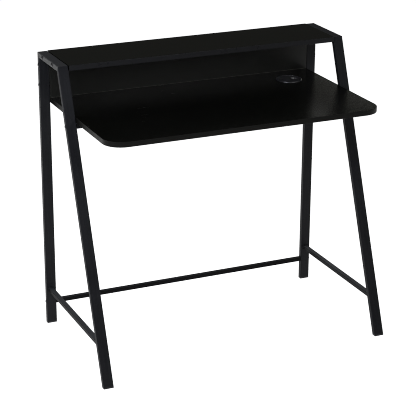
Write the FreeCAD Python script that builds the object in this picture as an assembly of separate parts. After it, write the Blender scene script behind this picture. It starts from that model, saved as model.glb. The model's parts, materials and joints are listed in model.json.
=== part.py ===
import FreeCAD, Part
import math
import os
from FreeCAD import Vector, Placement, Rotation

# Computer desk with a raised shelf. Millimetres, +Z up, front faces -Y, +X to the
# right as seen from the front. Origin at the middle of the floor footprint.
# "v" is the depth measured forward from the rear plane of the desk.

# ---- driving dimensions -------------------------------------------------
WIDTH = 900.0            # over the outer faces of the two side frames
DEPTH = 500.0            # rear plane to the toe of the front legs
FRAME_H = 850.0          # floor to the top of the top rails
TUBE_W = 30.0            # leg and top rail tube, measured along X
TUBE_T = 15.0            # leg and top rail tube, measured in the frame's plane
TUBE_WALL = 1.2
TUBE_R = 1.8             # outer corner radius of the leg tube
RAIL_RUN = 180.0         # rear plane to the front bend at the top

STRETCH_W = 15.0         # side stretcher, along X
STRETCH_H = 12.0
STRETCH_Z = 102.5        # its underside
BAR_H = 12.0             # rear crossbar height
BAR_D = 15.0             # rear crossbar depth
BAR_Z = 63.0             # its underside
SUP = 15.0               # support rail under the desktop, square
SMALL_R = 1.5            # outer corner radius of the small tubes

BOARD_T = 15.0
DESK_TOP = 713.0         # height of the desktop's upper face
DESK_V = 492.0           # front edge of the desktop
DESK_R = 55.0            # front corner radius
BOARD_X = 419.0          # half width of the boards between the frames
SHELF_TOP = 851.5
SHELF_V = 187.0          # front edge of the shelf
BAND = 1.0               # edge band thickness
ARRIS = 0.7              # rounding of the bands' outer edges

FLANGE_H = 4.0           # visible height of the foot plugs
PLUG_IN = 20.0           # how far they reach into the tubes

BOLT_D = 6.0
HEAD_D = 12.0
HEAD_H = 2.4
BOLT_CLEAR = 6.6
PANEL_BOLT_Z = (753.0, 813.0)
SHELF_BOLT_V = (43.0, 128.0)
SHELF_BOLT_Z = 843.5

GROMMET_X = 310.0
GROMMET_V = 110.0
GROMMET_HOLE_R = 30.3

# ---- derived ------------------------------------------------------------
HX = WIDTH / 2.0
REAR_Y = DEPTH / 2.0
DESK_Z = DESK_TOP - BOARD_T
SHELF_Z = SHELF_TOP - BOARD_T
BAR_CZ = BAR_Z + BAR_H / 2.0
SUP_CZ = DESK_Z - SUP / 2.0
SLOPE = (DEPTH - RAIL_RUN) / FRAME_H
LEG_LEN = math.hypot(DEPTH - RAIL_RUN, FRAME_H)
SIN_A = (DEPTH - RAIL_RUN) / LEG_LEN
COS_A = FRAME_H / LEG_LEN
GROMMET_Y = REAR_Y - GROMMET_V


def y_of(v):
    return REAR_Y - v


def leg_front_v(z):
    """Depth of the sloping leg's front face at a height."""
    return RAIL_RUN + (FRAME_H - z) * SLOPE


def leg_rear_v(z):
    return leg_front_v(z) - TUBE_T / COS_A


def leg_mid_v(z):
    return leg_front_v(z) - 0.5 * TUBE_T / COS_A


# ---- helpers ------------------------------------------------------------
def rounded_wire(w, h, r, z=0.0):
    a, b = w / 2.0, h / 2.0
    k = r * (1.0 - math.sqrt(0.5))
    pts = []
    for sx, sy in ((1, 1), (-1, 1), (-1, -1), (1, -1)):
        p = Vector(sx * a, sy * (b - r), z)
        q = Vector(sx * (a - r), sy * b, z)
        m = Vector(sx * (a - k), sy * (b - k), z)
        pts.append((p, m, q) if sx * sy > 0 else (q, m, p))
    edges = []
    for i, (p, m, q) in enumerate(pts):
        edges.append(Part.Arc(p, m, q).toShape())
        edges.append(Part.LineSegment(q, pts[(i + 1) % 4][0]).toShape())
    return Part.Wire(edges)


def bar(w, h, r, length):
    """Solid rounded rectangle from z = 0 to length."""
    return Part.Face(rounded_wire(w, h, r)).extrude(Vector(0, 0, length))


def tube(w, h, wall, r, length):
    core = bar(w - 2 * wall, h - 2 * wall, max(r - wall, 0.4), length + 2.0)
    core.translate(Vector(0, 0, -1.0))
    return bar(w, h, r, length).cut(core)


def placed(shape, rot, pos):
    s = shape.copy()
    s.Placement = Placement(Vector(*pos), rot)
    return s


def prism_yz(points, x0, x1):
    """Polygon given as (v, z) pairs, swept along X."""
    ps = [Vector(x0, y_of(v), z) for v, z in points]
    ps.append(ps[0])
    return Part.Face(Part.makePolygon(ps)).extrude(Vector(x1 - x0, 0, 0))


def cyl_x(x0, x1, v, z, d):
    return Part.makeCylinder(d / 2.0, x1 - x0, Vector(x0, y_of(v), z), Vector(1, 0, 0))


def cyl_z(x, v, z0, z1, d):
    return Part.makeCylinder(d / 2.0, z1 - z0, Vector(x, y_of(v), z0), Vector(0, 0, 1))


def box(x0, x1, v0, v1, z0, z1):
    return Part.makeBox(x1 - x0, v1 - v0, z1 - z0, Vector(x0, y_of(v1), z0))


def one(shape):
    """The only solid of a boolean result, cleaned."""
    s = shape.removeSplitter()
    solids = s.Solids
    if len(solids) != 1:
        raise ValueError("expected one solid, found %d" % len(solids))
    return solids[0]


def mirrored(shape):
    return shape.mirror(Vector(0, 0, 0), Vector(1, 0, 0))


def revolve(points, x, y, z):
    """Closed (r, z) profile turned about a vertical axis."""
    ps = [Vector(r, 0, h) for r, h in points]
    ps.append(ps[0])
    s = Part.Face(Part.makePolygon(ps)).revolve(Vector(0, 0, 0), Vector(0, 0, 1), 360)
    s.translate(Vector(x, y, z))
    return s


NODES = {}


def node(name, *shapes):
    """Keep a node: one solid, or a group of separate ones."""
    solids = []
    for s in shapes:
        solids += s.Solids
    for s in solids:
        if not s.isValid() or s.Volume <= 0:
            raise ValueError("bad solid in " + name)
    NODES[name] = solids[0] if len(solids) == 1 else Part.makeCompound(solids)


# ---- side frame, left one; the right one is its mirror image -------------
FX = -HX + TUBE_W / 2.0      # middle of the left frame's tubes
ROT_X90 = Rotation(Vector(1, 0, 0), 90)
ROT_Y90 = Rotation(Vector(0, 1, 0), 90)
ROT_LEG = Rotation(Vector(1, 0, 0), 180 - math.degrees(math.atan2(SIN_A, COS_A)))

# the mitre lines, in (v, z)
M_REAR = ((0.0, FRAME_H), (TUBE_T, FRAME_H - TUBE_T))
inner_v = RAIL_RUN + (-TUBE_T + TUBE_T * SIN_A) / COS_A
M_FRONT = ((RAIL_RUN, FRAME_H), (inner_v, FRAME_H - TUBE_T))


def along(line, t):
    """A point on a line, t mm beyond its first point (negative runs past the second)."""
    (v0, z0), (v1, z1) = line
    n = math.hypot(v0 - v1, z0 - z1)
    return (v0 + (v0 - v1) / n * t, z0 + (z0 - z1) / n * t)


X0, X1 = -HX - 20, -HX + TUBE_W + 20


def rear_leg(solid=False, z0=FLANGE_H):
    make = bar(TUBE_W, TUBE_T, TUBE_R, FRAME_H - z0) if solid else \
        tube(TUBE_W, TUBE_T, TUBE_WALL, TUBE_R, FRAME_H - z0)
    s = placed(make, Rotation(), (FX, y_of(TUBE_T / 2.0), z0))
    a, b = along(M_REAR, 40), along(M_REAR, -60)
    return s.cut(prism_yz([a, b, (b[0], FRAME_H + 60), (a[0], FRAME_H + 60)], X0, X1))


def top_rail(solid=False):
    n = RAIL_RUN + 40
    make = bar(TUBE_W, TUBE_T, TUBE_R, n) if solid else tube(TUBE_W, TUBE_T, TUBE_WALL, TUBE_R, n)
    s = placed(make, ROT_X90, (FX, y_of(-10), FRAME_H - TUBE_T / 2.0))
    a, b = along(M_REAR, 40), along(M_REAR, -60)
    s = s.cut(prism_yz([a, b, (a[0], b[1])], X0, X1))
    a, b = along(M_FRONT, 40), along(M_FRONT, -60)
    return s.cut(prism_yz([a, b, (320, b[1]), (320, a[1])], X0, X1))


def front_leg(solid=False, z0=FLANGE_H, z1=None):
    n = LEG_LEN + 120
    make = bar(TUBE_W, TUBE_T, TUBE_R, n) if solid else tube(TUBE_W, TUBE_T, TUBE_WALL, TUBE_R, n)
    # start 60 mm above the bend, middle of the section half a tube behind the front face
    v = RAIL_RUN - 60 * SIN_A - 0.5 * TUBE_T * COS_A
    z = FRAME_H + 60 * COS_A - 0.5 * TUBE_T * SIN_A
    s = placed(make, ROT_LEG, (FX, y_of(v), z))
    if z1 is None:
        a, b = along(M_FRONT, 80), along(M_FRONT, -60)
        s = s.cut(prism_yz([a, b, (40, b[1]), (40, a[1])], X0, X1))
    else:
        s = s.cut(box(X0, X1, 0, DEPTH + 200, z1, FRAME_H + 200))
    return s.cut(box(X0, X1, 0, DEPTH + 200, -200, z0))


def leg_rear_side(z_lo, z_hi):
    """Everything in front of the sloping leg's rear face, between two heights."""
    return prism_yz([(leg_rear_v(z_lo), z_lo), (leg_rear_v(z_hi), z_hi), (DEPTH + 100, z_hi), (DEPTH + 100, z_lo)], X0, X1)


def stretcher(solid=False):
    n = DEPTH
    make = bar(STRETCH_W, STRETCH_H, SMALL_R, n) if solid else \
        tube(STRETCH_W, STRETCH_H, TUBE_WALL, SMALL_R, n)
    s = placed(make, ROT_X90, (FX, y_of(TUBE_T), STRETCH_Z + STRETCH_H / 2.0))
    return s.cut(leg_rear_side(STRETCH_Z - 40, STRETCH_Z + STRETCH_H + 40))


rear = rear_leg()
top = top_rail()
front = front_leg()
stretch = stretcher()
for z in PANEL_BOLT_Z + (BAR_CZ,):
    rear = rear.cut(cyl_x(-HX - 5, -HX + TUBE_W + 5, TUBE_T / 2.0, z, BOLT_CLEAR))
for v in SHELF_BOLT_V:
    top = top.cut(cyl_x(-HX - 5, -HX + TUBE_W + 5, v, SHELF_BOLT_Z, BOLT_CLEAR))
SUP_V = leg_mid_v(SUP_CZ)
front = front.cut(cyl_x(-HX - 5, -HX + TUBE_W + 5, SUP_V, SUP_CZ, BOLT_CLEAR))

# weld beads: each follows the outline of its joint and is cut back to the tubes' faces
BEAD = 2.4
solid_rear = rear_leg(True, 0)
solid_front = front_leg(True, 0)
solid_top = top_rail(True)
solid_stretch = stretcher(True)


def bead_ring(corners, *tubes):
    parts = []
    for i, a in enumerate(corners):
        b = corners[(i + 1) % len(corners)]
        parts.append(Part.makeCylinder(BEAD, (b - a).Length, a, b - a))
        parts.append(Part.makeSphere(BEAD, a))
    s = parts[0].multiFuse(parts[1:])
    for t in tubes:
        s = s.cut(t)
    return s


def ring_corners(v_of):
    z_lo, z_hi = STRETCH_Z + 0.4, STRETCH_Z + STRETCH_H - 0.4
    xa, xb = FX - STRETCH_W / 2.0 + 0.4, FX + STRETCH_W / 2.0 - 0.4
    return [Vector(xa, y_of(v_of(z_lo)), z_lo), Vector(xb, y_of(v_of(z_lo)), z_lo),
            Vector(xb, y_of(v_of(z_hi)), z_hi), Vector(xa, y_of(v_of(z_hi)), z_hi)]


bead_a = bead_ring(ring_corners(lambda z: TUBE_T), solid_rear, solid_stretch)
bead_b = bead_ring(ring_corners(leg_rear_v), solid_front, solid_stretch)
bead_c = cyl_x(-HX + 2, -HX + TUBE_W - 2, M_REAR[1][0], M_REAR[1][1], 2 * BEAD).cut(solid_rear).cut(solid_top)
bead_d = cyl_x(-HX + 2, -HX + TUBE_W - 2, M_FRONT[1][0], M_FRONT[1][1], 2 * BEAD).cut(solid_front).cut(solid_top)
beads = [max(b.Solids, key=lambda s: s.Volume) for b in (bead_a, bead_b, bead_c, bead_d)]


# foot plugs: a flange under the tube and a hollow neck pressed into it
def plug(flange, neck, hollow):
    return one(flange.fuse(neck).cut(hollow))


inner_w, inner_t = TUBE_W - 2 * TUBE_WALL - 0.3, TUBE_T - 2 * TUBE_WALL - 0.3
flange = placed(bar(TUBE_W, TUBE_T, TUBE_R, FLANGE_H), Rotation(), (FX, y_of(TUBE_T / 2.0), 0))
neck = placed(bar(inner_w, inner_t, 0.6, PLUG_IN + 0.5), Rotation(), (FX, y_of(TUBE_T / 2.0), FLANGE_H - 0.5))
hollow = placed(bar(inner_w - 3.2, inner_t - 3.2, 0.6, PLUG_IN + 5), Rotation(), (FX, y_of(TUBE_T / 2.0), FLANGE_H + 1))
rear_plug = plug(flange, neck, hollow)


def sloped(w, t, r, z0, z1):
    n = LEG_LEN + 200
    v = DEPTH + 80 * SIN_A - 0.5 * TUBE_T * COS_A
    z = -80 * COS_A - 0.5 * TUBE_T * SIN_A
    s = placed(bar(w, t, r, n), Rotation(Vector(1, 0, 0), -math.degrees(math.atan2(SIN_A, COS_A))), (FX, y_of(v), z))
    s = s.cut(box(X0, X1, 0, DEPTH + 200, z1, FRAME_H + 300))
    return s.cut(box(X0, X1, 0, DEPTH + 200, -300, z0))


front_plug = plug(sloped(TUBE_W, TUBE_T, TUBE_R, 0, FLANGE_H),
                  sloped(inner_w, inner_t, 0.6, FLANGE_H - 0.5, FLANGE_H + PLUG_IN),
                  sloped(inner_w - 3.2, inner_t - 3.2, 0.6, FLANGE_H + 1, FLANGE_H + PLUG_IN + 5))

for side, turn in (("left", lambda s: s), ("right", mirrored)):
    node(side + "_rear_leg", turn(one(rear)))
    node(side + "_top_rail", turn(one(top)))
    node(side + "_front_leg", turn(one(front)))
    node(side + "_side_stretcher", turn(one(stretch)))
    node(side + "_frame_welds", *[turn(b) for b in beads])
    node(side + "_rear_foot_plug", turn(rear_plug))
    node(side + "_front_foot_plug", turn(front_plug))

# ---- cross members --------------------------------------------------------
IN_X = HX - TUBE_W           # inner faces of the frames
NUT_IN = 14.0                # barrel nut's distance from the tube's end
BARREL_D = 8.0

crossbar = placed(tube(BAR_H, BAR_D, TUBE_WALL, SMALL_R, 2 * IN_X), ROT_Y90, (-IN_X, y_of(BAR_D / 2.0), BAR_CZ))
support = placed(tube(SUP, SUP, TUBE_WALL, SMALL_R, 2 * IN_X), ROT_Y90, (-IN_X, y_of(SUP_V), SUP_CZ))


def barrel_nut(x, v_mid, z, length):
    """Cross dowel lying front to back, with its threaded hole along X and a slotted face."""
    s = Part.makeCylinder(BARREL_D / 2.0, length, Vector(x, y_of(v_mid) - length / 2.0, z), Vector(0, 1, 0))
    s = s.cut(cyl_x(x - BARREL_D, x + BARREL_D, v_mid, z, BOLT_D + 0.1))
    slot = Part.makeBox(BARREL_D + 2, 1.0, 1.0, Vector(x - BARREL_D / 2.0 - 1, y_of(v_mid) - length / 2.0, z - 0.5))
    return one(s.cut(slot))


def barrel_hole(x, v_mid, z, length):
    return Part.makeCylinder(BARREL_D / 2.0 + 0.05, length + 2, Vector(x, y_of(v_mid) - length / 2.0 - 1, z), Vector(0, 1, 0))


def bolt(x_face, v, z, length, sgn):
    """Low round-headed bolt with a hexagon socket; the shank points inwards along X."""
    head = Part.makeCylinder(HEAD_D / 2.0, HEAD_H, Vector(0, 0, -HEAD_H), Vector(0, 0, 1))
    dome = Part.makeSphere(11.0, Vector(0, 0, 11.0 - HEAD_H - 0.02))
    head = head.common(dome)
    shank = Part.makeCylinder(BOLT_D / 2.0, length - 1.0, Vector(0, 0, -0.2), Vector(0, 0, 1))
    tip = Part.makeCone(BOLT_D / 2.0, BOLT_D / 2.0 - 0.8, 1.0, Vector(0, 0, length - 1.2), Vector(0, 0, 1))
    s = head.fuse(shank).fuse(tip)
    hexa = [Vector(2.31 * math.cos(math.radians(60 * i)), 2.31 * math.sin(math.radians(60 * i)), -HEAD_H - 1) for i in range(7)]
    socket = Part.Face(Part.makePolygon(hexa)).extrude(Vector(0, 0, 2.6))
    s = one(s.cut(socket))
    # local +Z is the shank's direction: inwards, so +X on the left side and -X on the right
    rot = Rotation(Vector(0, 1, 0), 90 if sgn < 0 else -90)
    return placed(s, rot, (x_face, y_of(v), z))


NUT_LEN = 14.6
cross_nuts, cross_bolts, sup_nuts, sup_bolts = [], [], [], []
for sgn in (-1, 1):
    xn = sgn * (IN_X - NUT_IN)
    cross_nuts.append(barrel_nut(xn, BAR_D / 2.0, BAR_CZ, NUT_LEN))
    crossbar = crossbar.cut(barrel_hole(xn, BAR_D / 2.0, BAR_CZ, BAR_D))
    cross_bolts.append(bolt(sgn * HX, TUBE_T / 2.0, BAR_CZ, TUBE_W + NUT_IN + 5, sgn))
    sup_nuts.append(barrel_nut(xn, SUP_V, SUP_CZ, NUT_LEN))
    support = support.cut(barrel_hole(xn, SUP_V, SUP_CZ, SUP))
    sup_bolts.append(bolt(sgn * HX, SUP_V, SUP_CZ, TUBE_W + NUT_IN + 5, sgn))

SUP_SCREW_X = (-280.0, 0.0, 280.0)
SCREW_D = 4.0
sup_screws = []
for x in SUP_SCREW_X:
    support = support.cut(cyl_z(x, SUP_V, SUP_CZ - SUP, SUP_CZ + SUP, SCREW_D + 0.5))
    head = cyl_z(x, SUP_V, SUP_CZ - SUP / 2.0 - 2.2, SUP_CZ - SUP / 2.0, 8.0)
    shank = cyl_z(x, SUP_V, SUP_CZ - SUP / 2.0 - 0.2, DESK_Z + 9.0, SCREW_D)
    tip = Part.makeCone(SCREW_D / 2.0, 0.3, 3.0, Vector(x, y_of(SUP_V), DESK_Z + 9.0), Vector(0, 0, 1))
    cross = box(x - 2.2, x + 2.2, SUP_V - 0.45, SUP_V + 0.45, SUP_CZ - SUP / 2.0 - 3, SUP_CZ - SUP / 2.0 - 1.0)
    cross2 = box(x - 0.45, x + 0.45, SUP_V - 2.2, SUP_V + 2.2, SUP_CZ - SUP / 2.0 - 3, SUP_CZ - SUP / 2.0 - 1.0)
    sup_screws.append(one(head.fuse(shank).fuse(tip).cut(cross).cut(cross2)))

node("rear_crossbar", one(crossbar))
node("crossbar_barrel_nuts", *cross_nuts)
node("crossbar_bolts", *cross_bolts)
node("desktop_support_rail", one(support))
node("support_rail_barrel_nuts", *sup_nuts)
node("support_rail_bolts", *sup_bolts)
node("support_rail_screws", *sup_screws)

# ---- boards -----------------------------------------------------------------


def desk_outline(half, v0, v1, r, z):
    """Board outline with two rounded front corners, anticlockwise from above."""
    y0, y1 = y_of(v1), y_of(v0)
    k = r * (1.0 - math.sqrt(0.5))
    e = [Part.LineSegment(Vector(-half + r, y0, z), Vector(half - r, y0, z)).toShape(),
         Part.Arc(Vector(half - r, y0, z), Vector(half - k, y0 + k, z), Vector(half, y0 + r, z)).toShape(),
         Part.LineSegment(Vector(half, y0 + r, z), Vector(half, y1, z)).toShape(),
         Part.LineSegment(Vector(half, y1, z), Vector(-half, y1, z)).toShape(),
         Part.LineSegment(Vector(-half, y1, z), Vector(-half, y0 + r, z)).toShape(),
         Part.Arc(Vector(-half, y0 + r, z), Vector(-half + k, y0 + k, z), Vector(-half + r, y0, z)).toShape()]
    return Part.Wire(e)


def soften(shape, test, r):
    """Round the edges that the test picks out."""
    edges = [e for e in shape.Edges if test(e)]
    return shape.makeFillet(r, edges)


up = Vector(0, 0, BOARD_T)
outer = Part.Face(desk_outline(BOARD_X, 0.0, DESK_V, DESK_R, DESK_Z)).extrude(up)
inner = Part.Face(desk_outline(BOARD_X - BAND, -10.0, DESK_V - BAND, DESK_R - BAND, DESK_Z - 1)).extrude(Vector(0, 0, BOARD_T + 2))
band = one(outer.cut(inner))


def is_outer_arris(e):
    """Edges of the band's outer face, at its top or bottom."""
    b = e.BoundBox
    if b.ZLength > 0.01 or (abs(b.ZMin - DESK_Z) > 0.01 and abs(b.ZMin - DESK_TOP) > 0.01):
        return False
    p = e.valueAt((e.FirstParameter + e.LastParameter) / 2.0)
    if p.y > REAR_Y - 0.01:
        return False
    if abs(abs(p.x) - BOARD_X) < 0.01 or abs(p.y - y_of(DESK_V)) < 0.01:
        return True
    cx, cy = BOARD_X - DESK_R, y_of(DESK_V) + DESK_R
    return abs(math.hypot(abs(p.x) - cx, p.y - cy) - DESK_R) < 0.05


band = soften(band, is_outer_arris, ARRIS)
desk = Part.Face(desk_outline(BOARD_X - BAND, BAND, DESK_V - BAND, DESK_R - BAND, DESK_Z)).extrude(up)
desk_rear_band = box(-BOARD_X + BAND, BOARD_X - BAND, 0.0, BAND, DESK_Z, DESK_TOP)
desk_rear_band = soften(desk_rear_band, lambda e: e.BoundBox.XLength > 100 and e.BoundBox.YMin > REAR_Y - 0.01, ARRIS)

desk = desk.cut(cyl_z(GROMMET_X, GROMMET_V, DESK_Z - 1, DESK_TOP + 1, 2 * GROMMET_HOLE_R))
for x in SUP_SCREW_X:
    desk = desk.cut(cyl_z(x, SUP_V, DESK_Z - 1, DESK_Z + 12.2, SCREW_D + 0.06))

panel = box(-BOARD_X, BOARD_X, 0.0, BOARD_T, DESK_TOP, SHELF_Z)
shelf = box(-BOARD_X, BOARD_X, BAND, SHELF_V - BAND, SHELF_Z, SHELF_TOP)
shelf_front = box(-BOARD_X, BOARD_X, SHELF_V - BAND, SHELF_V, SHELF_Z, SHELF_TOP)
shelf_front = soften(shelf_front, lambda e: e.BoundBox.XLength > 100 and e.BoundBox.YMax < y_of(SHELF_V) + 0.01, ARRIS)
shelf_rear = box(-BOARD_X, BOARD_X, 0.0, BAND, SHELF_Z, SHELF_TOP)
shelf_rear = soften(shelf_rear, lambda e: e.BoundBox.XLength > 100 and e.BoundBox.YMin > REAR_Y - 0.01, ARRIS)

# screws up through the desktop into the panel's lower edge
PANEL_SCREW_X = (-330.0, -110.0, 110.0, 330.0)
MID_V = BOARD_T / 2.0
panel_screws = []
for x in PANEL_SCREW_X:
    base = Vector(x, y_of(MID_V), DESK_Z)
    head = Part.makeCone(4.2, 2.1, 2.6, base, Vector(0, 0, 1))
    shank = cyl_z(x, MID_V, DESK_Z + 2.4, DESK_Z + 43, 4.2)
    tip = Part.makeCone(2.1, 0.3, 4.0, Vector(x, y_of(MID_V), DESK_Z + 43), Vector(0, 0, 1))
    cross = box(x - 2.4, x + 2.4, MID_V - 0.45, MID_V + 0.45, DESK_Z - 1, DESK_Z + 1.4)
    cross2 = box(x - 0.45, x + 0.45, MID_V - 2.4, MID_V + 2.4, DESK_Z - 1, DESK_Z + 1.4)
    panel_screws.append(one(head.fuse(shank).fuse(tip).cut(cross).cut(cross2)))
    desk = desk.cut(cyl_z(x, MID_V, DESK_Z - 1, DESK_TOP + 1, 4.26))
    desk = desk.cut(Part.makeCone(4.25, 2.13, 2.64, base, Vector(0, 0, 1)))
    panel = panel.cut(cyl_z(x, MID_V, DESK_TOP - 1, DESK_Z + 48, 4.26))

# dowels between the panel's top edge and the shelf
DOWEL_D = 8.0
dowels = []
for x in (-250.0, 0.0, 250.0):
    d = cyl_z(x, MID_V, SHELF_Z - 19.5, SHELF_Z + 9.5, DOWEL_D)
    d = d.makeChamfer(0.8, [e for e in d.Edges if e.BoundBox.ZLength < 0.01])
    dowels.append(d)
    panel = panel.cut(cyl_z(x, MID_V, SHELF_Z - 20.5, SHELF_Z + 1, DOWEL_D + 0.06))
    shelf = shelf.cut(cyl_z(x, MID_V, SHELF_Z - 1, SHELF_Z + 10.5, DOWEL_D + 0.06))

# threaded inserts in the boards' ends, and the bolts that reach them through the tubes
INSERT_D, INSERT_L, INSERT_HOLE = 9.0, 17.0, 22.0
END_BOLT_L = TUBE_W + (IN_X - BOARD_X) + 17.0


def insert(sgn, v, z):
    x = sgn * BOARD_X
    a, b = (x, x + INSERT_L) if sgn < 0 else (x - INSERT_L, x)
    s = cyl_x(a, b, v, z, INSERT_D)
    flats = [cyl_x(a - 1, b + 1, v, z, BOLT_D + 0.1)]
    for i in range(3):
        c = a + 4.0 + 4.5 * i
        flats.append(cyl_x(c, c + 1.2, v, z, INSERT_D + 2).cut(cyl_x(c - 1, c + 3, v, z, INSERT_D - 0.8)))
    for f in flats:
        s = s.cut(f)
    return one(s)


def insert_hole(sgn, v, z):
    x = sgn * BOARD_X
    a, b = (x - 2, x + INSERT_HOLE) if sgn < 0 else (x - INSERT_HOLE, x + 2)
    return cyl_x(a, b, v, z, INSERT_D + 0.06)


panel_bolts, panel_inserts, shelf_bolts, shelf_inserts = [], [], [], []
for sgn in (-1, 1):
    for z in PANEL_BOLT_Z:
        panel_bolts.append(bolt(sgn * HX, MID_V, z, END_BOLT_L, sgn))
        panel_inserts.append(insert(sgn, MID_V, z))
        panel = panel.cut(insert_hole(sgn, MID_V, z))
    for v in SHELF_BOLT_V:
        shelf_bolts.append(bolt(sgn * HX, v, SHELF_BOLT_Z, END_BOLT_L, sgn))
        shelf_inserts.append(insert(sgn, v, SHELF_BOLT_Z))
        shelf = shelf.cut(insert_hole(sgn, v, SHELF_BOLT_Z))

node("desktop", one(desk))
node("desktop_edge_band", band)
node("desktop_rear_band", desk_rear_band)
node("back_panel", one(panel))
node("top_shelf", one(shelf))
node("shelf_front_band", shelf_front)
node("shelf_rear_band", shelf_rear)
node("panel_screws", *panel_screws)
node("shelf_dowels", *dowels)
node("back_panel_bolts", *panel_bolts)
node("back_panel_inserts", *panel_inserts)
node("shelf_bolts", *shelf_bolts)
node("shelf_inserts", *shelf_inserts)

# ---- cable grommet ------------------------------------------------------------
# sleeve: wide flange on the desktop, barrel through the hole, a groove that keeps the cap in
RING_R = 39.5
SEAT_R = 33.8            # recess that the cap lies in
BORE_R = 28.0
GAP = 0.3                # clearance between cap and sleeve
ring = revolve([(BORE_R, -19.5), (29.3, -19.5), (30.0, -17.5), (30.0, 0), (RING_R, 0), (RING_R, 0.7),
                (RING_R - 0.5, 1.4), (RING_R - 1.5, 2.2), (RING_R - 2.8, 2.8), (SEAT_R + 1.3, 3.0), (SEAT_R + 0.4, 2.85),
                (SEAT_R, 2.4), (SEAT_R, 0.5), (BORE_R, 0.5), (BORE_R, -4.8), (BORE_R + 0.6, -5.2),
                (BORE_R + 0.6, -8.2), (BORE_R, -8.8)], GROMMET_X, GROMMET_Y, DESK_TOP)
# cap: dished disc with a skirt whose bead turns in the sleeve's groove
cap = revolve([(0, 0.8), (25.9, 0.8), (25.9, -8.6), (27.3, -8.6), (28.25, -7.6), (28.25, -5.9), (27.7, -5.5),
               (27.7, 0.8), (SEAT_R - GAP, 0.8), (SEAT_R - GAP, 1.9), (SEAT_R - GAP - 0.5, 2.3),
               (SEAT_R - 1.6, 2.4), (SEAT_R - 4.5, 2.3), (SEAT_R - 5.5, 2.0), (0, 1.9)], GROMMET_X, GROMMET_Y, DESK_TOP)
SLOT_HALF, SLOT_IN = 11.0, 9.0
slot = Part.makeBox(60, 2 * SLOT_HALF, 40, Vector(GROMMET_X + SLOT_IN + 4.0, GROMMET_Y - SLOT_HALF, DESK_TOP - 30))
soft = Part.makeCylinder(4.0, 40, Vector(GROMMET_X + SLOT_IN + 4.0, GROMMET_Y - SLOT_HALF + 4.0, DESK_TOP - 30))
soft2 = Part.makeCylinder(4.0, 40, Vector(GROMMET_X + SLOT_IN + 4.0, GROMMET_Y + SLOT_HALF - 4.0, DESK_TOP - 30))
mid = Part.makeBox(8, 2 * SLOT_HALF - 8.0, 40, Vector(GROMMET_X + SLOT_IN, GROMMET_Y - SLOT_HALF + 4.0, DESK_TOP - 30))
cap = cap.cut(slot.multiFuse([soft, soft2, mid]))
# three finger ribs on the side away from the slot
ribs = []
for dx in (-14.0, -18.0, -22.0):
    rib = bar(1.2, 12.0, 0.55, 1.1)
    ribs.append(placed(rib, Rotation(), (GROMMET_X + dx, GROMMET_Y, DESK_TOP + 1.5)))
cap = cap.multiFuse(ribs)
node("grommet_ring", one(ring))
node("grommet_cap", one(cap))

# ---- write ------------------------------------------------------------------
os.makedirs("parts", exist_ok=True)
total = 0.0
for name in sorted(NODES):
    shape = NODES[name]
    shape.exportStep("parts/%s.step" % name)
    total += shape.Volume
whole = Part.makeCompound(list(NODES.values()))
b = whole.BoundBox
print("nodes", len(NODES), "solids", sum(len(s.Solids) for s in NODES.values()))
print("box x %.2f..%.2f y %.2f..%.2f z %.2f..%.2f" % (b.XMin, b.XMax, b.YMin, b.YMax, b.ZMin, b.ZMax))
print("solid volume %.0f cm3" % (total / 1000.0))
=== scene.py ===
import bpy, bmesh, json, math, random
from mathutils import Vector, Matrix


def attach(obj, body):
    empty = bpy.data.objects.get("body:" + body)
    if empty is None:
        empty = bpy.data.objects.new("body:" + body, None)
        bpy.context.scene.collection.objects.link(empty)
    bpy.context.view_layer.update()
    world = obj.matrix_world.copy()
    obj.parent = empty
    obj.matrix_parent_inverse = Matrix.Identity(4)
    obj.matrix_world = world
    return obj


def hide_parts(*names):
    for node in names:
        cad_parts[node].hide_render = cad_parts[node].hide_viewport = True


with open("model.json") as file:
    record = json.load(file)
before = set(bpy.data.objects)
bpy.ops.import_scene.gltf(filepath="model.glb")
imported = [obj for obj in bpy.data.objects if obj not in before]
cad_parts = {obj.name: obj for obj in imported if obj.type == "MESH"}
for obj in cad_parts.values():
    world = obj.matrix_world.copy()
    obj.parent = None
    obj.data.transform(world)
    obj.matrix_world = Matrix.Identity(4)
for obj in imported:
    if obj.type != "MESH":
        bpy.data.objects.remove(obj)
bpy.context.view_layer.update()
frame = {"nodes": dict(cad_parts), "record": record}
nodes = frame["nodes"]
scene = bpy.context.scene

# ------------------------------------------------------------------ look
scene.view_settings.view_transform = "Standard"
scene.view_settings.look = "None"
scene.cycles.filter_width = 1.0     # crisp edges, as in the photograph

# ------------------------------------------------------------------ camera
F_PX, IMG = 1544.0, 416.0
AZ, EL, ROLL = math.radians(24.44), math.radians(20.39), math.radians(0.35)
CAM_AT = Vector((-1.787, 0.25 - 4.136, 1.979))


def make_camera():
    fwd = Vector((math.sin(AZ) * math.cos(EL), math.cos(AZ) * math.cos(EL), -math.sin(EL)))
    right = fwd.cross(Vector((0, 0, 1))).normalized()
    up = right.cross(fwd).normalized()
    c, s = math.cos(ROLL), math.sin(ROLL)
    r2 = c * right + s * up
    u2 = -s * right + c * up
    m = Matrix((r2, u2, -fwd)).transposed().to_4x4()
    m.translation = CAM_AT
    data = bpy.data.cameras.new("camera")
    data.sensor_width = 36.0
    data.lens = F_PX * 36.0 / IMG
    data.clip_start, data.clip_end = 0.05, 60.0
    cam = bpy.data.objects.new("camera", data)
    cam.matrix_world = m
    scene.collection.objects.link(cam)
    scene.camera = cam


make_camera()


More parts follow.
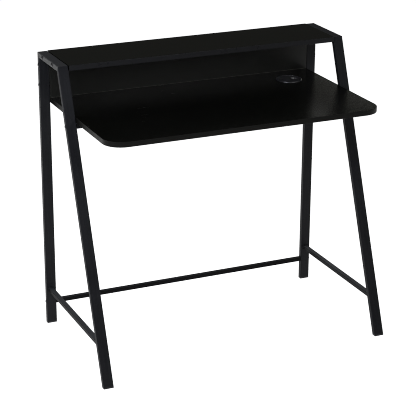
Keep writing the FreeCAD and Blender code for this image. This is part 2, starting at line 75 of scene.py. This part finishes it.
# ------------------------------------------------------------------ stage and light
def make_stage():
    """A pale, slightly self-lit floor, brightest under and behind the desk."""
    me = bpy.data.meshes.new("studio_floor")
    bm = bmesh.new()
    n = 12
    grid = [[bm.verts.new((-9.0 + 18.0 * i / n, -9.0 + 18.0 * j / n, 0.0)) for i in range(n + 1)] for j in range(n + 1)]
    for j in range(n):
        for i in range(n):
            bm.faces.new((grid[j][i], grid[j][i + 1], grid[j + 1][i + 1], grid[j + 1][i]))
    bm.to_mesh(me)
    bm.free()
    ob = bpy.data.objects.new("studio_floor", me)
    scene.collection.objects.link(ob)
    mat = bpy.data.materials.new("studio_paper")
    mat.use_nodes = True
    nt = mat.node_tree
    b = nt.nodes["Principled BSDF"]
    b.inputs["Base Color"].default_value = (0.34, 0.34, 0.34, 1)
    b.inputs["Roughness"].default_value = 0.95
    b.inputs["Specular IOR Level"].default_value = 0.1
    sep = nt.nodes.new("ShaderNodeSeparateXYZ")
    nt.links.new(nt.nodes.new("ShaderNodeTexCoord").outputs["Object"], sep.inputs[0])
    mr = nt.nodes.new("ShaderNodeMapRange")
    mr.interpolation_type = "SMOOTHSTEP"
    mr.inputs["From Min"].default_value = FLOOR_FAR
    mr.inputs["From Max"].default_value = FLOOR_NEAR
    mr.inputs["To Min"].default_value = FLOOR_DIM
    mr.inputs["To Max"].default_value = FLOOR_GLOW
    nt.links.new(sep.outputs["Y"], mr.inputs["Value"])
    b.inputs["Emission Color"].default_value = (1, 1, 1, 1)
    nt.links.new(mr.outputs["Result"], b.inputs["Emission Strength"])
    me.materials.append(mat)

    # a round wall of the same paper, which the camera sees but which throws no light
    m = 96
    ring = [(8.6 * math.cos(2 * math.pi * i / m), 8.6 * math.sin(2 * math.pi * i / m)) for i in range(m)]
    me = bpy.data.meshes.new("studio_wall")
    me.from_pydata([(x, y, -0.01) for x, y in ring] + [(x, y, 8.0) for x, y in ring], [],
                   [(i, (i + 1) % m, m + (i + 1) % m, m + i) for i in range(m)])
    me.shade_smooth()
    wall = bpy.data.objects.new("studio_wall", me)
    scene.collection.objects.link(wall)
    me.materials.append(mat)
    wall.visible_diffuse = wall.visible_glossy = wall.visible_transmission = wall.visible_shadow = False


FLOOR_NEAR, FLOOR_FAR = -0.85, -2.0
FLOOR_GLOW, FLOOR_DIM = 0.97, 0.45
make_stage()


def make_light():
    w = bpy.data.worlds.new("studio")
    scene.world = w
    w.use_nodes = True
    nt = w.node_tree
    bg = nt.nodes["Background"]
    # a soft grey room with one dark wall behind and to the right, so that the tops stay black
    tc = nt.nodes.new("ShaderNodeTexCoord")
    dot = nt.nodes.new("ShaderNodeVectorMath")
    dot.operation = "DOT_PRODUCT"
    az, el = math.radians(DARK_AZ), math.radians(DARK_EL)
    dot.inputs[1].default_value = (math.sin(az) * math.cos(el), math.cos(az) * math.cos(el), math.sin(el))
    nt.links.new(tc.outputs["Generated"], dot.inputs[0])
    mr = nt.nodes.new("ShaderNodeMapRange")
    mr.interpolation_type = "SMOOTHSTEP"
    mr.inputs["From Min"].default_value = math.cos(math.radians(DARK_OUT))
    mr.inputs["From Max"].default_value = math.cos(math.radians(DARK_IN))
    mr.inputs["To Min"].default_value = ROOM
    mr.inputs["To Max"].default_value = DARK
    nt.links.new(dot.outputs["Value"], mr.inputs["Value"])
    bg.inputs["Color"].default_value = (1.0, 1.0, 1.0, 1)
    nt.links.new(mr.outputs["Result"], bg.inputs["Strength"])

    def area(name, at, look, size, power, size_y=None):
        d = bpy.data.lights.new(name, "AREA")
        d.energy = power
        if name in ("back_card", "near_right_card"):
            d.color = (1.0, 1.01, 0.91)     # the boards mirror a slightly warm wall
        if name == "key_lamp":
            d.color = (0.93, 0.97, 1.09)     # cool light from the left
        d.size = size
        if size_y:
            d.shape = "RECTANGLE"
            d.size_y = size_y
        o = bpy.data.objects.new(name, d)
        o.location = at
        o.rotation_mode = "QUATERNION"
        o.rotation_quaternion = (Vector(at) - Vector(look)).to_track_quat("Z", "Y")
        scene.collection.objects.link(o)
        o.visible_camera = False

    for name, at, look, size, power, size_y in LIGHTS:
        area(name, at, look, size, power, size_y)


def round_the_desk(az, el, dist):
    """A point seen from the desk's middle: azimuth 0 is in front, 90 to the right."""
    a, e = math.radians(az), math.radians(el)
    return (dist * math.sin(a) * math.cos(e), -dist * math.cos(a) * math.cos(e), 0.6 + dist * math.sin(e))


ROOM, DARK = 0.05, 0.0
DARK_AZ, DARK_EL, DARK_IN, DARK_OUT = 24.0, 18.0, 50.0, 80.0
MIDDLE = (0.0, 0.0, 0.6)
LIGHTS = [
    ("key_lamp", (-1.3, -1.1, 1.6), (-0.4, 0.1, 0.8), 0.8, 30.0, 0.8),
    ("front_right_softbox", round_the_desk(30, 22, 3.3), MIDDLE, 1.4, 3.0, 1.4),
    ("front_spot", round_the_desk(22, 26, 3.3), MIDDLE, 0.55, 14.5, 0.55),
    ("right_softbox", round_the_desk(60, 22, 3.3), MIDDLE, 1.4, 6.0, 1.4),
    ("high_right_softbox", round_the_desk(45, 40, 3.3), MIDDLE, 1.4, 6.0, 1.4),
    ("back_left_softbox", round_the_desk(225, 40, 3.3), MIDDLE, 1.4, 60.0, 1.4),
    ("back_card", (1.15, 2.85, 1.6), MIDDLE, 2.8, 0.6, 2.0),
    ("left_floor_card", (-1.25, 1.75, 0.03), (-1.25, 1.75, 1.0), 0.9, 5.0, 1.6),
    ("near_right_card", (0.85, 0.64, 0.66), (0.0, 0.60, 0.66), 0.70, 0.8, 0.32),
]
make_light()


# ------------------------------------------------------------------ materials
class Net:
    """A small helper for building shader nodes."""

    def __init__(self, name):
        self.mat = bpy.data.materials.new(name)
        self.mat.use_nodes = True
        self.t = self.mat.node_tree
        self.b = self.t.nodes["Principled BSDF"]
        self.coord = self.t.nodes.new("ShaderNodeTexCoord").outputs["Object"]

    def add(self, kind, **sets):
        n = self.t.nodes.new(kind)
        for k, v in sets.items():
            setattr(n, k, v)
        return n

    def link(self, a, b):
        self.t.links.new(a, b)

    def scaled(self, scale, turn=(0, 0, 0)):
        """Object coordinates, turned first and then scaled."""
        vec = self.coord
        if any(turn):
            r = self.add("ShaderNodeMapping")
            r.inputs["Rotation"].default_value = turn
            self.link(vec, r.inputs["Vector"])
            vec = r.outputs["Vector"]
        m = self.add("ShaderNodeMapping")
        m.inputs["Scale"].default_value = scale
        self.link(vec, m.inputs["Vector"])
        return m.outputs["Vector"]

    def noise(self, vec, scale, detail=2.0, rough=0.5, distortion=0.0):
        n = self.add("ShaderNodeTexNoise")
        self.link(vec, n.inputs["Vector"])
        n.inputs["Scale"].default_value = scale
        n.inputs["Detail"].default_value = detail
        n.inputs["Roughness"].default_value = rough
        n.inputs["Distortion"].default_value = distortion
        return n.outputs["Fac"]

    def ramp(self, fac, stops):
        n = self.add("ShaderNodeValToRGB")
        cr = n.color_ramp
        while len(cr.elements) < len(stops):
            cr.elements.new(0.5)
        for e, (p, c) in zip(cr.elements, stops):
            e.position = p
            e.color = (*c, 1) if len(c) == 3 else c
        self.link(fac, n.inputs["Fac"])
        return n.outputs["Color"]

    def remap(self, fac, lo, hi, a=0.0, b=1.0):
        n = self.add("ShaderNodeMapRange")
        n.inputs["From Min"].default_value = a
        n.inputs["From Max"].default_value = b
        n.inputs["To Min"].default_value = lo
        n.inputs["To Max"].default_value = hi
        self.link(fac, n.inputs["Value"])
        return n.outputs["Result"]

    def math(self, op, a, b=None):
        n = self.add("ShaderNodeMath", operation=op)
        for i, v in enumerate((a, b)):
            if v is None:
                continue
            if isinstance(v, (int, float)):
                n.inputs[i].default_value = v
            else:
                self.link(v, n.inputs[i])
        return n.outputs[0]

    def mix(self, fac, a, b):
        n = self.add("ShaderNodeMix", data_type="RGBA")
        if isinstance(fac, (int, float)):
            n.inputs[0].default_value = fac
        else:
            self.link(fac, n.inputs[0])
        for i, v in ((6, a), (7, b)):
            if isinstance(v, tuple):
                n.inputs[i].default_value = (*v, 1)
            else:
                self.link(v, n.inputs[i])
        return n.outputs[2]

    def bump(self, height, distance, strength=1.0, normal=None):
        n = self.add("ShaderNodeBump")
        n.inputs["Strength"].default_value = strength
        n.inputs["Distance"].default_value = distance
        self.link(height, n.inputs["Height"])
        if normal is not None:
            self.link(normal, n.inputs["Normal"])
        return n.outputs["Normal"]

    def colour(self, v):
        if isinstance(v, tuple):
            self.b.inputs["Base Color"].default_value = (*v, 1)
        else:
            self.link(v, self.b.inputs["Base Color"])

    def rough(self, v):
        if isinstance(v, (int, float)):
            self.b.inputs["Roughness"].default_value = v
        else:
            self.link(v, self.b.inputs["Roughness"])

    def normal(self, v):
        self.link(v, self.b.inputs["Normal"])


def powder_coat(name="frame_powder_coat", along=(1.0, 1.0, 0.03), turn=(0, 0, 0), gloss=0.08, tone=1.0, painted_top_light=0.0235):
    """Black powder coat: orange peel, a fine grain, faint streaks along the drawn tube, and painted light on the faces
    that look up.
    """
    n = Net(name)
    big = n.noise(n.coord, 9.0, 3.0, 0.55)
    streak = n.noise(n.scaled(tuple(420.0 * a for a in along), turn), 1.0, 3.0, 0.6)
    mottle = n.math("ADD", n.math("MULTIPLY", big, 0.5), n.math("MULTIPLY", streak, 0.5))
    face = n.mix(n.remap(mottle, 0.0, 1.0, 0.38, 0.62), tuple(tone * c for c in (0.0070, 0.0072, 0.0080)), tuple(tone * c for c in (0.0106, 0.0108, 0.0119)))
    up = n.add("ShaderNodeSeparateXYZ")
    n.link(n.add("ShaderNodeNewGeometry").outputs["Normal"], up.inputs[0])
    top_light_mask = n.math("MULTIPLY", n.remap(up.outputs["Z"], 0.0, 1.0, 0.75, 0.97), n.remap(big, 0.45, 0.65, 0.3, 0.7))
    n.colour(n.mix(top_light_mask, face, (painted_top_light, painted_top_light * 1.03, painted_top_light * 1.08)))      # painted light: a patchy lighter film where the tube looks up, standing in for light from above
    grain = n.noise(n.coord, 900.0, 2.0, 0.6)
    peel = n.noise(n.coord, 260.0, 1.0, 0.5)
    n.rough(n.math("ADD", n.remap(peel, 0.44, 0.52, 0.3, 0.7), n.remap(streak, -0.04, 0.04, 0.3, 0.7)))
    n.b.inputs["Specular IOR Level"].default_value = gloss
    nn = n.bump(peel, 0.00012, 0.6)
    n.normal(n.bump(grain, 0.00004, 0.5, nn))
    return n.mat


def board(name="board_black", tone=1.0, gloss=0.50, rough=0.24, highlight_line_z=None):
    """Black faced chipboard: a barely visible pressed grain, satin. The last argument, if given, is a height just above
    which a thin light brownish line is painted on the face: a painted highlight along the board's lower edge."""
    n = Net(name)
    grain_v = n.scaled((3.0, 120.0, 120.0))
    streak = n.noise(grain_v, 4.0, 6.0, 0.62, 0.4)
    pores = n.noise(n.scaled((14.0, 420.0, 420.0)), 3.0, 3.0, 0.7)
    face = n.mix(n.remap(streak, 0.0, 1.0, 0.35, 0.68), tuple(tone * c for c in (0.0016, 0.0017, 0.0013)), tuple(tone * c for c in (0.0022, 0.0023, 0.0018)))
    # painted highlight: a thin light brownish line with a wobbly top, painted on the face just above the given height,
    # standing in for the bright line at the board's lower edge
    if highlight_line_z is not None:
        sep = n.add("ShaderNodeSeparateXYZ")
        n.link(n.coord, sep.inputs[0])
        line_wobble = n.noise(n.scaled((40.0, 40.0, 40.0)), 3.0, 3.0, 0.6)
        limit = n.remap(line_wobble, highlight_line_z + 0.0004, highlight_line_z + 0.0006, 0.35, 0.65)
        face = n.mix(n.math("LESS_THAN", sep.outputs["Z"], limit), face, (0.060, 0.058, 0.048))
    n.colour(face)
    cloud = n.noise(n.coord, 6.0, 3.0, 0.5)
    n.rough(n.math("ADD", n.remap(streak, rough - 0.02, rough + 0.02, 0.3, 0.7), n.remap(cloud, -0.02, 0.02, 0.3, 0.7)))
    n.b.inputs["Specular IOR Level"].default_value = gloss
    nn = n.bump(streak, 0.00003, 0.4)
    n.normal(n.bump(pores, 0.00003, 0.4, nn))
    return n.mat


def plastic(name, dark, light, r0, r1, bump=0.00003, scale=1400.0, spec=0.4):
    n = Net(name)
    cloud = n.noise(n.coord, 40.0, 3.0, 0.6)
    n.colour(n.mix(n.remap(cloud, 0.0, 1.0, 0.3, 0.7), dark, light))
    fine = n.noise(n.coord, scale, 2.0, 0.6)
    n.rough(n.remap(cloud, r0, r1, 0.3, 0.7))
    n.b.inputs["Specular IOR Level"].default_value = spec
    n.normal(n.bump(fine, bump, 0.5))
    return n.mat


def zinc():
    n = Net("zinc_steel")
    cloud = n.noise(n.coord, 220.0, 4.0, 0.6)
    n.colour(n.mix(n.remap(cloud, 0.0, 1.0, 0.3, 0.7), (0.42, 0.42, 0.43), (0.62, 0.61, 0.58)))
    n.b.inputs["Metallic"].default_value = 1.0
    n.rough(n.remap(cloud, 0.28, 0.45, 0.3, 0.7))
    n.normal(n.bump(n.noise(n.coord, 1500.0, 2.0), 0.00002, 0.5))
    return n.mat


def beech():
    n = Net("dowel_beech")
    fibre = n.noise(n.scaled((200.0, 200.0, 8.0)), 6.0, 5.0, 0.6)
    n.colour(n.mix(fibre, (0.42, 0.26, 0.13), (0.62, 0.43, 0.25)))
    n.rough(n.remap(fibre, 0.5, 0.7))
    n.normal(n.bump(fibre, 0.00008, 0.5))
    return n.mat


MATS = {
    "frame_powder_coat": powder_coat(),
    "board_black": board(),
    "edge_band_black": plastic("edge_band_black", (0.0066, 0.0068, 0.0074), (0.0086, 0.0088, 0.0096), 0.26, 0.36, spec=0.14),
    "bolt_black": plastic("bolt_black", (0.006, 0.006, 0.0065), (0.010, 0.010, 0.0105), 0.30, 0.42, spec=0.25),
    "zinc_steel": zinc(),
    "plug_plastic": plastic("plug_plastic", (0.008, 0.008, 0.0085), (0.013, 0.013, 0.014), 0.45, 0.6, 0.00006, 900.0, spec=0.3),
    "grommet_plastic": plastic("grommet_plastic", (0.012, 0.012, 0.0135), (0.018, 0.018, 0.020), 0.28, 0.36, spec=0.75),
    "dowel_beech": beech(),
}
LEG_TURN = math.atan2(320.0, 850.0)
SPECIAL = {
    "crossbar_barrel_nuts": plastic("nut_black", (0.0024, 0.0024, 0.0026), (0.0036, 0.0036, 0.0039), 0.42, 0.50, spec=0.06),
    "desktop_edge_band": plastic("edge_band_desktop", (0.0037, 0.0036, 0.0030), (0.0052, 0.0051, 0.0043), 0.42, 0.50, spec=0.08),
    # painted light: the back panel gets a lighter copy of the board (tone 2.7) for the light falling on its face, and a
    # painted highlight line just above its lower edge at 0.713 m
    "back_panel": board("board_black_panel_painted_light", 2.7, 0.24, 0.38, 0.713),
}
for side in ("left", "right"):
    # painted light: the front legs get a lighter copy of the powder coat (tone 1.10), standing in for the light on
    # their fronts
    SPECIAL[side + "_front_leg"] = powder_coat("powder_coat_front_leg_" + side, turn=(LEG_TURN, 0, 0), gloss=0.05, tone=1.10)
    # painted light: a slightly stronger lighter film on the rails' top faces
    SPECIAL[side + "_top_rail"] = powder_coat("powder_coat_rail_" + side, along=(1.0, 0.03, 1.0), gloss=0.28, painted_top_light=0.026)
    # painted shade and light: a darker copy of the powder coat (tone 0.7) on the stretchers, with a much stronger
    # lighter film painted on their top faces, stronger on the right one
    SPECIAL[side + "_side_stretcher"] = powder_coat("powder_coat_stretcher_" + side, along=(1.0, 0.03, 1.0), gloss=0.045, tone=0.7, painted_top_light=0.052 if side == "left" else 0.078)
# a much darker copy of the powder coat (tone 0.35) for the rear crossbar and the desktop rail, with painted light on
# their top faces
SPECIAL["rear_crossbar"] = SPECIAL["desktop_support_rail"] = powder_coat("powder_coat_crossbar", along=(0.03, 1.0, 1.0), gloss=0.045, tone=0.35, painted_top_light=0.030)
slot_of = {s["node"]: s["material_slot"] for s in frame["record"]["subparts"]}
for name, ob in nodes.items():
    ob.data.materials.clear()
    ob.data.materials.append(SPECIAL.get(name) or MATS[slot_of[name]])


# ------------------------------------------------------------------ moulded and welded pieces
MM = 0.001


def piece(name, verts, faces, slot, body, crease=38.0, mat=None):
    """A closed mesh in millimetres becomes a piece that rides on a body."""
    me = bpy.data.meshes.new(name)
    me.from_pydata([(x * MM, y * MM, z * MM) for x, y, z in verts], [], faces)
    bm = bmesh.new()
    bm.from_mesh(me)
    bmesh.ops.remove_doubles(bm, verts=bm.verts, dist=1e-6)
    bmesh.ops.dissolve_degenerate(bm, edges=bm.edges, dist=1e-7)
    bmesh.ops.recalc_face_normals(bm, faces=bm.faces)
    bm.to_mesh(me)
    bm.free()
    me.shade_smooth()
    me.set_sharp_from_angle(angle=math.radians(crease))
    ob = bpy.data.objects.new(name, me)
    scene.collection.objects.link(ob)
    me.materials.append(mat or MATS[slot])
    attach(ob, body)
    return ob


def turned(profile, cx, cy, cz, n):
    """Vertices and faces of a closed (r, z) profile turned about a vertical axis; r = 0 is one point."""
    verts, rings = [], []
    for r, z in profile:
        if r < 1e-9:
            rings.append([len(verts)] * n)
            verts.append((cx, cy, cz + z))
        else:
            rings.append(list(range(len(verts), len(verts) + n)))
            verts += [(cx + r * math.cos(2 * math.pi * i / n), cy + r * math.sin(2 * math.pi * i / n), cz + z) for i in range(n)]
    faces = []
    for k in range(len(rings)):
        a, b = rings[k], rings[(k + 1) % len(rings)]
        for i in range(n):
            j = (i + 1) % n
            f = []
            for v in (a[i], a[j], b[j], b[i]):
                if v not in f:
                    f.append(v)
            if len(f) > 2:
                faces.append(tuple(f))
    return verts, faces


def arc(cx, cz, rx, rz, a0, a1, n):
    return [(cx + rx * math.cos(math.radians(a0 + (a1 - a0) * i / n)), cz + rz * math.sin(math.radians(a0 + (a1 - a0) * i / n)))
            for i in range(n + 1)]


GX, GY, GZ = 310.0, 140.0, 713.0


def make_grommet():
    # sleeve: a full round lip outside, a softened lip inside, the seat, and the barrel through the board
    prof = [(30.0, 0.0), (39.3, 0.0)]
    prof += arc(36.3, 0.12, 3.2, 2.88, 2, 90, 12)
    prof += [(35.6, 3.0)] + arc(35.0, 1.9, 1.2, 1.05, 80, 180, 8)
    prof += [(33.8, 0.7), (33.6, 0.5), (28.3, 0.5), (28.0, 0.2), (28.0, -4.8), (28.6, -5.2), (28.6, -8.2), (28.0, -8.8),
             (28.0, -19.2), (28.3, -19.5), (29.1, -19.5), (29.4, -19.2), (30.0, -17.5)]
    v, f = turned(prof, GX, GY, GZ, 144)
    ring = piece("grommet_sleeve_moulded", v, f, "grommet_plastic", "desk", 30.0)
    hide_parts("grommet_ring")

    # cap: rounded rim, shallow dish, a skirt with its snap bead, and a slot for cables cut through all of it
    prof = [(0.0, 0.8), (25.9, 0.8), (25.9, -8.4), (26.1, -8.6), (27.3, -8.6), (28.2, -7.65), (28.25, -7.4), (28.25, -6.1), (28.1, -5.8),
            (27.7, -5.5), (27.7, 0.8), (33.3, 0.8), (33.5, 1.0)]
    prof += arc(32.6, 1.5, 0.9, 0.9, 0, 90, 7)
    prof += [(31.0, 2.42), (30.0, 2.40), (29.4, 2.33), (28.9, 2.2), (28.4, 2.05), (27.8, 1.95), (27.0, 1.9), (14.0, 1.84), (0.0, 1.8)]
    v, f = turned(prof, GX, GY, GZ, 144)
    cap = piece("grommet_cap_moulded", v, f, "grommet_plastic", "grommet_cap", 30.0)
    x0, half, r = 9.0, 11.0, 4.0
    outline = [(GX + 60, GY - half), (GX + 60, GY + half)]
    outline += [(GX + x0 + r + a, GY + half - r + b) for a, b in arc(0, 0, r, r, 90, 180, 8)]
    outline += [(GX + x0 + r + a, GY - half + r + b) for a, b in arc(0, 0, r, r, 180, 270, 8)]
    m = len(outline)
    cv = [(x, y, GZ - 30) for x, y in outline] + [(x, y, GZ + 30) for x, y in outline]
    cf = [tuple(range(m)), tuple(range(2 * m - 1, m - 1, -1))] + [(i, (i + 1) % m, m + (i + 1) % m, m + i) for i in range(m)]
    cm = bpy.data.meshes.new("slot_cutter")
    cm.from_pydata([(x * MM, y * MM, z * MM) for x, y, z in cv], [], cf)
    cutter = bpy.data.objects.new("slot_cutter", cm)
    scene.collection.objects.link(cutter)
    mod = cap.modifiers.new("slot", "BOOLEAN")
    mod.operation, mod.object, mod.solver = "DIFFERENCE", cutter, "EXACT"
    bev = cap.modifiers.new("soft_edges", "BEVEL")
    bev.width, bev.segments, bev.limit_method, bev.angle_limit = 0.28 * MM, 3, "ANGLE", math.radians(42)
    bev.use_clamp_overlap = True
    bpy.context.view_layer.update()
    me = bpy.data.meshes.new_from_object(cap.evaluated_get(bpy.context.evaluated_depsgraph_get()))
    cap.modifiers.clear()
    old, cap.data = cap.data, me
    bpy.data.meshes.remove(old)
    bpy.data.objects.remove(cutter)
    bpy.data.meshes.remove(cm)
    me.shade_smooth()
    me.set_sharp_from_angle(angle=math.radians(30))
    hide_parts("grommet_cap")

    # three finger ribs with round tops
    verts, faces = [], []
    for dx in (-14.0, -18.0, -22.0):
        loops = [(0.62, 1.5), (0.62, 2.05)] + [(0.62 * math.cos(math.radians(18 * k)) + 0.004, 2.05 + 0.5 * math.sin(math.radians(18 * k))) for k in range(1, 6)]
        base = len(verts)
        n = 24
        for r, z in loops:
            for i in range(n):
                a = 2 * math.pi * (i + 0.5) / n
                verts.append((GX + dx + r * math.cos(a), GY + r * math.sin(a) + (5.4 if math.sin(a) > 0 else -5.4), GZ + z))
        for k in range(len(loops) - 1):
            for i in range(n):
                j = (i + 1) % n
                faces.append((base + k * n + i, base + k * n + j, base + (k + 1) * n + j, base + (k + 1) * n + i))
        faces.append(tuple(base + i for i in range(n - 1, -1, -1)))
        faces.append(tuple(base + (len(loops) - 1) * n + i for i in range(n)))
    piece("grommet_cap_ribs", verts, faces, "grommet_plastic", "grommet_cap", 50.0)


make_grommet()


def weld(stations, closed, rng, r0=2.5):
    """One weld bead. Each station is (point, direction along one face, direction along the other, distance);
    the bead's face is stacked crescents, and its back is hidden in the tubes."""
    verts, faces = [], []
    k_n = 9
    length = stations[-1][3]
    wob = [rng.uniform(-1, 1) for _ in range(40)]
    pitch = 1.45
    for p, a, b, s in stations:
        i = s / 4.0
        w = wob[int(i) % 40] * (1 - i % 1) + wob[(int(i) + 1) % 40] * (i % 1)
        fade = 1.0
        if not closed:
            e = min(s, length - s) / 1.8
            fade = math.sqrt(max(0.0, 1 - (1 - min(1.0, e)) ** 2)) * 0.85 + 0.15
        r = r0 * (1 + 0.07 * w) * fade
        row = []
        for k in range(k_n):
            u = k / (k_n - 1)
            d = (a * (1 - u) + b * u).normalized()
            crescent = ((s + 0.75 * math.sin(math.pi * u)) / pitch) % 1.0
            ripple = 0.085 * (crescent if crescent < 0.8 else (1 - crescent) * 4.0) * math.sin(math.pi * min(1, max(0, u * 1.1 - 0.05))) * fade
            row.append(p + d * r * (1 - 0.19 * math.sin(math.pi * u) + ripple))
        row[0] = row[0] - b * 0.2
        row[-1] = row[-1] - a * 0.2
        row.append(p - a * 0.35 - b * 0.35)
        verts += [tuple(x) for x in row]
    m = k_n + 1
    n = len(stations)
    for i in range(n if closed else n - 1):
        j = (i + 1) % n
        for k in range(m):
            l = (k + 1) % m
            faces.append((i * m + k, i * m + l, j * m + l, j * m + k))
    if not closed:
        faces.append(tuple(range(m)))
        faces.append(tuple((n - 1) * m + k for k in range(m - 1, -1, -1)))
    return verts, faces


def ring_stations(cx, y_at, back, z0, z1, half, corner):
    """Stations round a stretcher's section where it meets a leg; y_at(z) is the leg's face, back is the way along the stretcher."""
    pts = []
    cz, hz = (z0 + z1) / 2, (z1 - z0) / 2
    for qx, qz, a0 in ((1, 1, 0), (-1, 1, 90), (-1, -1, 180), (1, -1, 270)):
        for i in range(13):
            a = math.radians(a0 + 90 * i / 12)
            pts.append((cx + qx * (half - corner) + corner * math.cos(a), cz + qz * (hz - corner) + corner * math.sin(a), math.cos(a), math.sin(a)))
    out, dist = [], 0.0
    steps = []
    for i, p in enumerate(pts):
        q = pts[(i + 1) % len(pts)]
        d = math.hypot(q[0] - p[0], q[1] - p[1])
        n = max(1, round(d / 0.24))
        for k in range(n):
            f = k / n
            steps.append((p[0] + (q[0] - p[0]) * f, p[1] + (q[1] - p[1]) * f, p[2] + (q[2] - p[2]) * f, p[3] + (q[3] - p[3]) * f, d / n))
    for x, z, nx, nz, d in steps:
        slope = y_at(z + 1.0) - y_at(z)
        a = Vector((nx, slope * nz, nz)).normalized()
        out.append((Vector((x, y_at(z), z)), a, Vector((0, back, 0)), dist))
        dist += d
    return out


def line_stations(x0, x1, y, z, a, b):
    n = round(abs(x1 - x0) / 0.24)
    return [(Vector((x0 + (x1 - x0) * i / n, y, z)), a, b, abs(x1 - x0) * i / n) for i in range(n + 1)]


def make_welds():
    slope = 320.0 / 850.0
    cos_a = 850.0 / math.hypot(320.0, 850.0)
    leg_rear_y = lambda z: 250.0 - (180.0 + (850.0 - z) * slope - 15.0 / cos_a)
    down_leg = Vector((0, -slope, -1)).normalized()
    inner = 180.0 + (-15.0 + 15.0 * slope * cos_a) / cos_a
    for side, sgn in (("left", -1), ("right", 1)):
        rng = random.Random(11 if sgn < 0 else 12)
        cx = sgn * 435.0
        beads = [weld(ring_stations(cx, lambda z: 235.0, -1, 102.5, 114.5, 7.5, 1.5), True, rng),
                 weld(ring_stations(cx, leg_rear_y, 1, 102.5, 114.5, 7.5, 1.5), True, rng),
                 weld(line_stations(cx - 13.2, cx + 13.2, 235.0, 835.0, Vector((0, 0, -1)), Vector((0, -1, 0))), False, rng),
                 weld(line_stations(cx - 13.2, cx + 13.2, 250.0 - inner, 835.0, down_leg, Vector((0, 1, 0))), False, rng)]
        verts, faces = [], []
        for v, f in beads:
            faces += [tuple(i + len(verts) for i in q) for q in f]
            verts += v
        ob = piece(side + "_weld_beads", verts, faces, "frame_powder_coat", "desk", 60.0)
        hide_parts(side + "_frame_welds")


make_welds()
